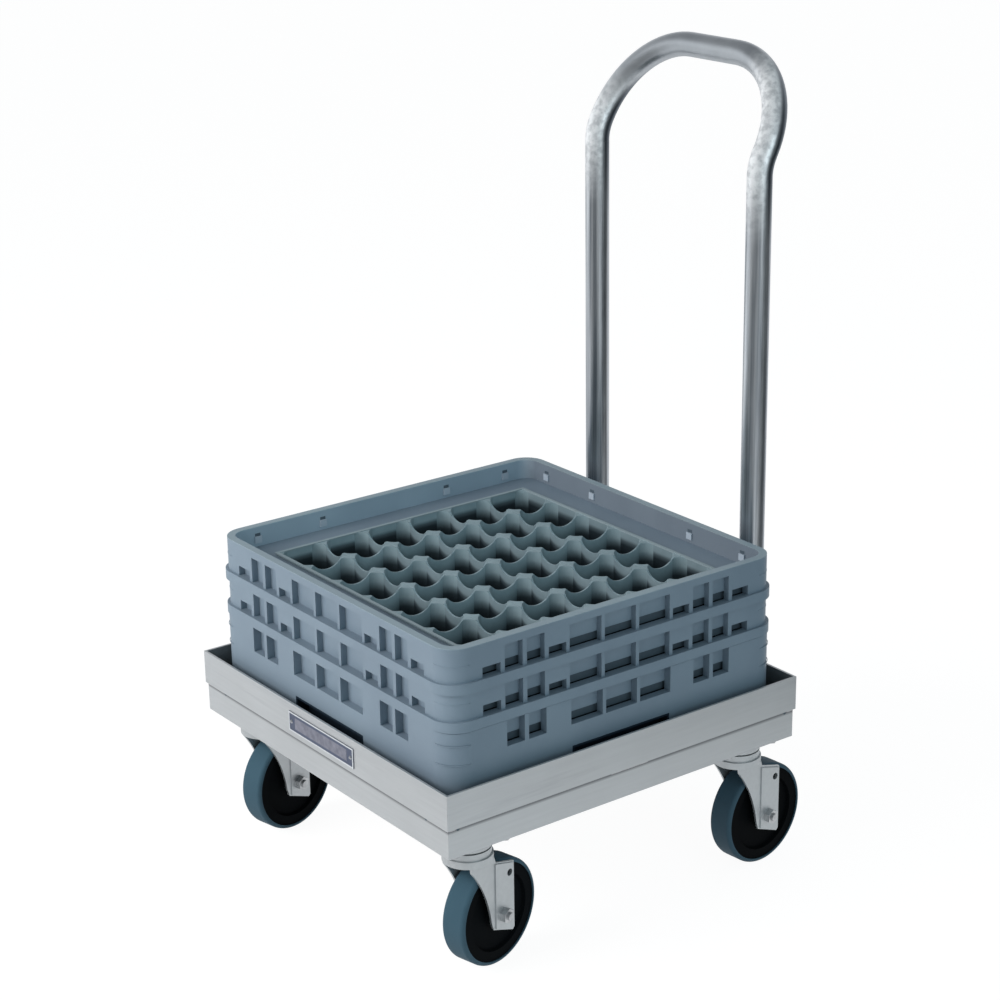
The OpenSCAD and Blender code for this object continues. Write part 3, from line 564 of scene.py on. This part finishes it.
def crater(x):
    """A small dished disc on the -Y tube, under the angle"""
    y, z = MID_Y - TUBE_OUT - 0.15 * MM, TUBE_TOP - CRATER_DROP
    verts = [(x, y + 0.1 * MM, z)]
    for i in range(CRATER_POINTS):
        angle = 2 * math.pi * i / CRATER_POINTS
        verts.append((x + CRATER_W * math.cos(angle), y, z + CRATER_H * math.sin(angle)))
    faces = [(0, 1 + i, 1 + (i + 1) % CRATER_POINTS) for i in range(CRATER_POINTS)]
    return verts, faces


beads, craters = [], []
for quarter in range(4):
    reach = (FRONT_BEAD, SHORT_BEAD)[quarter % 2]
    beads.append(turned(bead(-TUBE_OUT, reach - TUBE_OUT), quarter))
    beads.append(turned(bead(TUBE_OUT - reach, TUBE_OUT), quarter))
    craters.append(turned(crater(reach - TUBE_OUT + CRATER_OFF), quarter))
    craters.append(turned(crater(TUBE_OUT - reach - CRATER_OFF), quarter))
for quarter in (1, 3):
    beads.append(turned(bead(-SIDE_BEAD / 2, SIDE_BEAD / 2), quarter))
weld_beads = mesh_piece("weld_beads", *joined(beads), weld_metal, "frame", "weld_bead", True)
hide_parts("seam_welds")
mesh_piece("weld_craters", *joined(craters), painted_shade_plastic, "frame", "weld_bead", True)

# Nameplate: a bright raised border, and a plain panel between its rivets
BORDER = 1.8 * MM
BORDER_UP = 0.3 * MM
PANEL_UP = 0.15 * MM
PANEL_END = 14 * MM


def on_plate(x0, x1, z0, z1, up):
    """A strip that stands up from the nameplate's face"""
    return box_mesh((x0, plate_lo.y - up, z0), (x1, plate_lo.y + SUNK, z1))


mesh_piece("nameplate_border", *joined([
    on_plate(plate_lo.x, plate_hi.x, plate_lo.z, plate_lo.z + BORDER, BORDER_UP),
    on_plate(plate_lo.x, plate_hi.x, plate_hi.z - BORDER, plate_hi.z, BORDER_UP),
    on_plate(plate_lo.x, plate_lo.x + BORDER, plate_lo.z + BORDER, plate_hi.z - BORDER, BORDER_UP),
    on_plate(plate_hi.x - BORDER, plate_hi.x, plate_lo.z + BORDER, plate_hi.z - BORDER, BORDER_UP),
]), border_metal, "frame", "rivet_metal")
panel_x = (plate_lo.x + PANEL_END, plate_hi.x - PANEL_END)
panel_z = (plate_lo.z + 3 * BORDER, plate_hi.z - 3 * BORDER)
panel = on_plate(*panel_x, *panel_z, PANEL_UP)
mesh_piece("nameplate_panel", *panel, panel_paint, "frame", "nameplate_blue")

# Tabs under the rim on the inner walls, each with a dark patch above it, which is painted shade in place of
# a small recess
TAB_PITCH = 100 * MM
TAB_W = 10 * MM
TAB_H = 9 * MM
TAB_DROP = 13 * MM
TAB_UP = 2 * MM
RECESS_W = 8 * MM
RECESS_H = 4 * MM


def on_inner_wall(x, width, z0, z1, proud):
    """A block that stands out of the -Y wall's inner face"""
    y = MID_Y - INNER
    return box_mesh((x - width / 2, y - 0.3 * MM, z0), (x + width / 2, y + proud, z1))


tabs, recesses = [], []
for quarter in range(4):
    for place in (-2, -1, 1, 2):
        x = place * TAB_PITCH
        top = RIM_Z - TAB_DROP
        tabs.append(turned(on_inner_wall(x, TAB_W, top - TAB_H, top, TAB_UP), quarter))
        # Painted shade: a thin dark sheet on the wall stands for each small recess
        recesses.append(turned(on_inner_wall(x, RECESS_W, top, top + RECESS_H, 0.3 * MM), quarter))
mesh_piece("wall_tabs", *joined(tabs), tab_tone_and_painted_light, "rack", "rack_plastic")
mesh_piece("wall_recess_shades", *joined(recesses), painted_shade_plastic, "rack", "rack_plastic")

# Rounded corners of the compartments. Their tops follow the slats' dips.
CORNER_R = 18 * MM
CORNER_STEPS = 9
UNDER_TOP = 0.1 * MM


def dipped(reach):
    """How deep an inner slat's top edge is below its crossings, at a distance from one"""
    off = PITCH / 2 - reach
    return max(0.0, math.sqrt(max(0.0, DIP_R * DIP_R - off * off)) - DIP_R + DIP)


def rounded_corner(i, j, side_x, side_y):
    """Fills the corner at crossing i, j toward one side on each axis, with a quarter circle's hollow"""
    x, y = (i - CELLS / 2) * PITCH, MID_Y + (j - CELLS / 2) * PITCH
    along_x, along_y = 0 < j < CELLS, 0 < i < CELLS
    outline = [(0.0, 0.0, 0.0)]
    for k in range(CORNER_STEPS + 1):
        angle = math.pi / 2 * k / CORNER_STEPS
        a = CORNER_R * (1 - math.sin(angle))
        b = CORNER_R * (1 - math.cos(angle))
        inner = along_x if a > b else along_y
        outline.append((a, b, dipped(max(a, b)) if inner else 0.0))
    low, high = [], []
    for a, b, drop in outline:
        px = x + side_x * (a + SLAT / 4)
        py = y + side_y * (b + SLAT / 4)
        low.append((px, py, slats_lo.z + 1 * MM))
        high.append((px, py, slats_hi.z - UNDER_TOP - drop))
    count = len(outline)
    faces = [(n, (n + 1) % count, count + (n + 1) % count, count + n) for n in range(count)]
    faces += [(0, n + 1, n) for n in range(1, count - 1)]
    faces += [(count, count + n, count + n + 1) for n in range(1, count - 1)]
    return low + high, faces


corners = [
    rounded_corner(i + (side_x < 0), j + (side_y < 0), side_x, side_y)
    for i in range(CELLS)
    for j in range(CELLS)
    for side_x in (1, -1)
    for side_y in (1, -1)
]
mesh_piece("compartment_corners", *joined(corners), corner_plastic, "rack", "divider_plastic")

# Pale bead along the top of the outermost slats
BEAD_W = 4.5 * MM
BEAD_H = 1.6 * MM
edge_bead = box_mesh(
    (-FIELD - BEAD_W / 2, MID_Y - FIELD - BEAD_W / 2, slats_hi.z - BEAD_H / 2),
    (FIELD - BEAD_W / 2, MID_Y - FIELD + BEAD_W / 2, slats_hi.z + BEAD_H / 2),
)
field_beads = [turned(edge_bead, quarter) for quarter in range(4)]
mesh_piece("field_bead", *joined(field_beads), bead_plastic, "rack", "divider_plastic")

# Windows of a layer, as middle, width and height: wide, tall, and the extenders' small ones
WIDE_W = 48 * MM
TALL_W = 26 * MM
WINDOW_H = 33 * MM
SMALL_H = 13 * MM
WINDOW_TOP = 10 * MM
RIB = 5 * MM
FIRST = 1.5 * WIDE_W + 2 * RIB + TALL_W / 2
STEP = TALL_W + RIB + 1 * MM
WIDE = [(x * (WIDE_W + RIB), WIDE_W, WINDOW_H) for x in (-1, 0, 1)]
TALL = [(side * (FIRST + k * STEP), TALL_W, WINDOW_H) for side in (-1, 1) for k in (1, 2)]
SMALL = [(side * (FIRST + k * STEP), TALL_W, SMALL_H) for side in (-1, 1) for k in (0, 3)]
LAYER = 47 * MM
ALL_WINDOWS = WIDE + TALL + SMALL
LAYERS = [(RIM_Z, ALL_WINDOWS), (RIM_Z - LAYER, ALL_WINDOWS), (RIM_Z - 2 * LAYER, WIDE + TALL)]
SHEET = 1 * MM

# The gap between the two walls, and the slots at the foot of the inner one
GAP_OUT = RACK_HALF - 4 * MM
GAP_IN = INNER + 2 * MM
SLOT_H = 11 * MM
SLOT_BACK = 3 * MM


def returns(x, width, height, rim):
    """Sheets that close the gap between the two walls at a window's sides and foot"""
    foot = rim - WINDOW_TOP - WINDOW_H
    left, right = x - width / 2, x + width / 2
    y0, y1 = MID_Y - GAP_OUT, MID_Y - GAP_IN
    return joined([
        box_mesh((left - SHEET, y0, foot), (left, y1, foot + height)),
        box_mesh((right, y0, foot), (right + SHEET, y1, foot + height)),
        box_mesh((left, y0, foot - SHEET), (right, y1, foot)),
    ])


def slot_back(rim):
    """Dark sheet behind the slots at the foot of the inner wall, painted shade for the dark seen through
    them
    """
    foot = rim - WINDOW_TOP - WINDOW_H
    reach = FIRST + 3.5 * STEP
    y = MID_Y - INNER + SLOT_BACK
    return box_mesh((-reach, y, foot - SHEET), (reach, y + SHEET, foot + SLOT_H + SHEET))


sheets, backs = [], []
for quarter in range(4):
    for rim, windows in LAYERS:
        sheets += [turned(returns(*window, rim), quarter) for window in windows]
        if quarter % 2:
            backs.append(turned(slot_back(rim), quarter))
mesh_piece("window_returns", *joined(sheets), wall_plastic, "rack", "rack_plastic")
mesh_piece("slot_backs", *joined(backs), painted_shade_plastic, "rack", "rack_plastic")

# Fine moulding lines round the rack's corners, half way up each layer and twice on the base
LINE_R = 30 * MM
LINE_STEPS = 14
LINE_DROP = 22 * MM
BASE_DROPS = (26 * MM, 50 * MM)


def corner_line(z, radius, half):
    """Thin rib round the front left corner of a wall whose outside is at half"""
    centre = -(half - radius)
    sunk, proud = radius - 0.3 * MM, radius + 0.35 * MM
    section = [(sunk, -0.8 * MM), (proud, -0.5 * MM), (proud, 0.5 * MM), (sunk, 0.8 * MM)]
    verts, faces = [], []
    for i in range(LINE_STEPS + 1):
        angle = math.pi * (1 + i / LINE_STEPS / 2)
        for reach, up in section:
            x = centre + reach * math.cos(angle)
            y = centre + reach * math.sin(angle) + MID_Y
            verts.append((x, y, z + up))
    for i in range(LINE_STEPS):
        for k in range(4):
            a, b = i * 4 + k, i * 4 + (k + 1) % 4
            faces.append((a, b, b + 4, a + 4))
    faces.append((0, 1, 2, 3))
    faces.append(tuple(LINE_STEPS * 4 + k for k in range(4)))
    return verts, faces


lines = []
for quarter in range(4):
    for rim in (RIM_Z, RIM_Z - LAYER):
        lines.append(turned(corner_line(rim - LINE_DROP, LINE_R, RACK_HALF), quarter))
    for drop in BASE_DROPS:
        lines.append(turned(corner_line(base_hi.z - drop, LINE_R, base_hi.x), quarter))
mesh_piece("corner_lines", *joined(lines), wall_plastic, "rack", "rack_plastic", True)

# Camera at the photograph's angle. Its place is measured from under the frame's middle.
CAMERA_AZ = math.radians(53.40)
CAMERA_PITCH = math.radians(19.48)
CAMERA_ROLL = math.radians(-0.8692)
CAMERA_X = 2.2819
CAMERA_Y = -1.6829
CAMERA_Z = 1.491
camera_data = bpy.data.cameras.new("camera")
camera = bpy.data.objects.new("camera", camera_data)
scene.collection.objects.link(camera)
flat = math.cos(CAMERA_PITCH)
forward = Vector((-math.sin(CAMERA_AZ) * flat, math.cos(CAMERA_AZ) * flat, -math.sin(CAMERA_PITCH)))
right = Vector((math.cos(CAMERA_AZ), math.sin(CAMERA_AZ), 0))
up = right.cross(forward)
rolled_right = math.cos(CAMERA_ROLL) * right + math.sin(CAMERA_ROLL) * up
rolled_up = -math.sin(CAMERA_ROLL) * right + math.cos(CAMERA_ROLL) * up
turn = Matrix((rolled_right, rolled_up, -forward)).transposed().to_4x4()
camera.matrix_world = Matrix.Translation((CAMERA_X, CAMERA_Y + MID_Y, CAMERA_Z)) @ turn
camera_data.lens = 86.31
camera_data.sensor_width = 36
camera_data.clip_start = 0.1
camera_data.clip_end = 50
scene.camera = camera

scene.view_settings.view_transform = "Standard"

# Studio light: soft all round, weaker from above, with one key light and one side light. The cards are
# what metal reflects: pairs of an azimuth in degrees, 0 at the front and 90 on the right, and a tone.
AMBIENT_LOW = 0.66
AMBIENT_TOP = 0.30
CARDS = [
    (-180, 0.75), (-80, 0.80), (-66, 0.90), (-38, 0.90), (-26, 0.34), (4, 0.26), (56, 0.22),
    (66, 0.54), (94, 0.54), (102, 0.08), (160, 0.08), (172, 0.65), (180, 0.75),
]
CARD_POWER = 1.15
SKY = (0.25, 0.26, 0.275)
LIT_Z = 0.4


def studio_cards(tree, vector):
    """What polished metal sees round it: pale walls with darker cards, by direction"""
    x, y, z = split(tree, vector)
    turn = calc(tree, "ARCTAN2", x, calc(tree, "MULTIPLY", y, -1.0))
    fac = remap(tree, turn, -math.pi, math.pi)
    walls = ramp(tree, fac, [((az + 180) / 360, (v * 0.97, v, v * 1.03)) for az, v in CARDS])
    return mix(tree, remap(tree, z, 0.25, 0.60), walls, SKY)


def background(tree, colour, strength=1.0):
    """Light from the world's background"""
    made = node(tree, "ShaderNodeBackground")
    feed(tree, made.inputs["Color"], colour)
    feed(tree, made.inputs["Strength"], strength)
    return made.outputs[0]


def mix_shader(tree, fac, a, b):
    """Shader a where fac is 0, and b where it is 1"""
    made = node(tree, "ShaderNodeMixShader")
    feed(tree, made.inputs[0], fac)
    tree.links.new(a, made.inputs[1])
    tree.links.new(b, made.inputs[2])
    return made.outputs[0]


world = bpy.data.worlds.new("studio")
scene.world = world
world.use_nodes = True
tree = world.node_tree
tree.nodes.clear()
path = node(tree, "ShaderNodeLightPath")
direction = node(tree, "ShaderNodeTexCoord").outputs["Generated"]
toward_x, _, toward_z = split(tree, direction)
from_right = remap(tree, toward_x, 0.0, 0.7)
tint = mix(tree, from_right, (0.95, 0.98, 1.0), (0.66, 0.91, 1.0))
soft = background(tree, tint, remap(tree, toward_z, 0.1, 0.9, AMBIENT_LOW, AMBIENT_TOP))
cards = background(tree, studio_cards(tree, direction), CARD_POWER)
white = background(tree, (1, 1, 1))
seen = calc(tree, "MAXIMUM", path.outputs["Is Camera Ray"], path.outputs["Is Transmission Ray"])
light = mix_shader(tree, path.outputs["Is Glossy Ray"], soft, cards)
world_out = node(tree, "ShaderNodeOutputWorld")
tree.links.new(mix_shader(tree, seen, light, white), world_out.inputs["Surface"])


def area_light(name, azimuth, elevation, distance, size, power, colour, glossy):
    """A soft panel that shines at the middle of the object"""
    data = bpy.data.lights.new(name, "AREA")
    data.shape = "RECTANGLE"
    data.size, data.size_y = size
    data.energy = power
    data.color = colour
    light = bpy.data.objects.new(name, data)
    a, e = math.radians(azimuth), math.radians(elevation)
    back = Vector((math.sin(a) * math.cos(e), -math.cos(a) * math.cos(e), math.sin(e)))
    light.location = Vector((0, MID_Y, LIT_Z)) + back * distance
    light.rotation_mode = "QUATERNION"
    light.rotation_quaternion = (-back).to_track_quat("-Z", "Y")
    light.visible_glossy = glossy
    scene.collection.objects.link(light)


area_light("key", azimuth=-12, elevation=26, distance=3.2, size=(2.2, 1.6), power=78,
           colour=(1.0, 0.99, 0.98), glossy=False)
area_light("side", azimuth=92, elevation=18, distance=3.4, size=(1.6, 1.6), power=14,
           colour=(0.80, 0.95, 1.0), glossy=True)

# Of the floor that the camera sees, this share is plain white and the rest takes shadow. Metal sees it
# pale near the object, and as the cards further out.
FLOOR_HALF = 12
FLOOR_SHARE = 0.88
FLOOR_WHITE = 1.07
FLOOR_NEAR = 0.75
FLOOR_FAR = 1.15


def floor_shader(tree):
    """White to the camera with the object's faint shadow; reflections see the cards on it"""
    path = node(tree, "ShaderNodeLightPath")
    pale = node(tree, "ShaderNodeBsdfDiffuse")
    feed(tree, pale.inputs["Color"], mix(tree, path.outputs["Is Camera Ray"], (0.8, 0.8, 0.8), (1, 1, 1)))
    white = node(tree, "ShaderNodeEmission")
    white.inputs["Strength"].default_value = FLOOR_WHITE
    share = calc(tree, "MULTIPLY", path.outputs["Is Camera Ray"], FLOOR_SHARE)
    plain = mix_shader(tree, share, pale.outputs[0], white.outputs[0])
    place = node(tree, "ShaderNodeNewGeometry").outputs["Position"]
    far = node(tree, "ShaderNodeVectorMath", operation="LENGTH")
    tree.links.new(place, far.inputs[0])
    reach = remap(tree, far.outputs["Value"], FLOOR_NEAR, FLOOR_FAR)
    seen = node(tree, "ShaderNodeEmission")
    feed(tree, seen.inputs["Color"], mix(tree, reach, (0.85, 0.87, 0.89), studio_cards(tree, place)))
    return mix_shader(tree, path.outputs["Is Glossy Ray"], plain, seen.outputs[0])


floor_corners = [(x * FLOOR_HALF, y * FLOOR_HALF, 0) for x, y in ((-1, -1), (1, -1), (1, 1), (-1, 1))]
floor_mesh = bpy.data.meshes.new("floor")
floor_mesh.from_pydata(floor_corners, [], [(0, 1, 2, 3)])
floor = bpy.data.objects.new("floor", floor_mesh)
scene.collection.objects.link(floor)
floor_mesh.materials.append(material("studio_floor", floor_shader))
